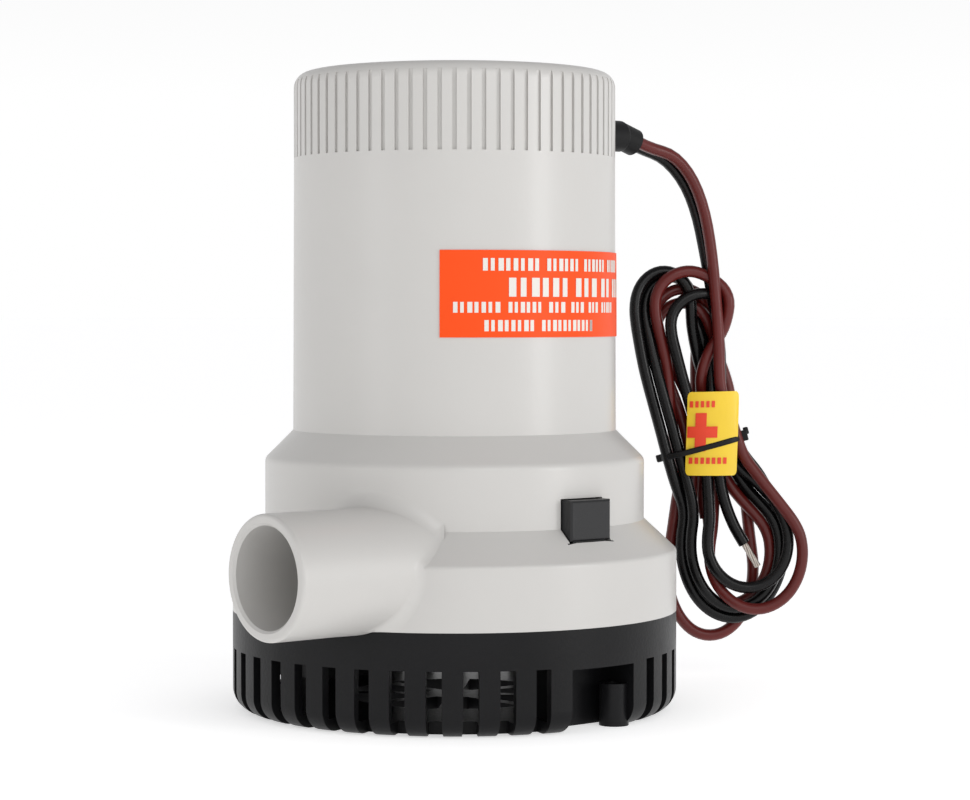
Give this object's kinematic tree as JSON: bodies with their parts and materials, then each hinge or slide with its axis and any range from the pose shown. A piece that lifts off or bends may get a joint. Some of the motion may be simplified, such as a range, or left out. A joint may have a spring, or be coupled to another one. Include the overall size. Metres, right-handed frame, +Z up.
{
  "type": "bilge pump",
  "caption": "Submersible bilge pump: a stepped housing with a tangential hose spigot, a ribbed cap, a clip-on strainer base, and two leads tied in a hank.",
  "frame": {"origin": "on the pump's axis in the plane that it is screwed down on, the centre of the two mounting screws", "axes": "+Z up along the rotor; the hose spigot points to -X; the two release buttons face -Y and +Y; the cable boot points to +X"},
  "size_m": [0.1804, 0.1092, 0.1557],
  "materials": {
    "housing_plastic": "satin moulded",
    "base_plastic": "moulded",
    "rubber": "matte",
    "label": "printed",
    "can_steel": "zinc plated",
    "magnet": "sintered",
    "steel": "bright",
    "laminations": "stacked",
    "copper": "enamelled",
    "brass": "plain",
    "carbon": "graphite",
    "card": "laminate",
    "capacitor": "dipped",
    "impeller_plastic": "moulded",
    "red_insulation": "extruded",
    "black_insulation": "extruded",
    "tag": "film"
  },
  "bodies": {
    "root": {"motor_housing": "housing_plastic", "volute_housing": "housing_plastic", "top_cap": "housing_plastic", "strainer_base": "base_plastic", "volute_cover": "base_plastic", "cap_seal_ring": "rubber", "cable_boot": "rubber", "lower_motor_cushion": "rubber", "upper_motor_cushion": "rubber", "shaft_seal": "rubber", "volute_gasket": "rubber", "rating_label": "label", "motor_can": "can_steel", "motor_end_plate": "can_steel", "seal_retainer": "can_steel", "motor_magnets": "magnet", "magnet_clips": "steel", "brush_springs": "steel", "brush_card_screws": "steel", "volute_cover_screws": "steel", "motor_terminals": "brass", "brush_holders": "brass", "upper_bearing": "brass", "lower_bearing": "brass", "carbon_brushes": "carbon", "brush_card": "card", "noise_capacitor": "capacitor", "red_lead": "red_insulation", "red_inner_lead": "red_insulation", "black_lead": "black_insulation", "black_inner_lead": "black_insulation", "wire_hank": "black_insulation", "hank_tie": "black_insulation", "polarity_tag": "tag"},
    "rotor": {"motor_shaft": "steel", "armature_core": "laminations", "armature_windings": "copper", "commutator": "copper", "thrust_washers": "steel", "impeller": "impeller_plastic", "impeller_screw": "steel"},
    "front_latch": {"latch_front": "base_plastic"},
    "rear_latch": {"latch_rear": "base_plastic"}
  },
  "joints": [
    {"name": "rotor_spin", "type": "hinge", "parent": "root", "child": "rotor", "pos_m": [0, 0, 0.06], "axis": [0, 0, -1], "continuous": true},
    {"name": "front_latch_press", "type": "hinge", "parent": "root", "child": "front_latch", "pos_m": [0, -0.0477, 0.0205], "axis": [-1, 0, 0], "range_deg": [0, 12], "stiffness_Nm_per_rad": 1.2},
    {"name": "rear_latch_press", "type": "hinge", "parent": "root", "child": "rear_latch", "pos_m": [0, 0.0477, 0.0205], "axis": [1, 0, 0], "range_deg": [0, 12], "stiffness_Nm_per_rad": 1.2}
  ]
}
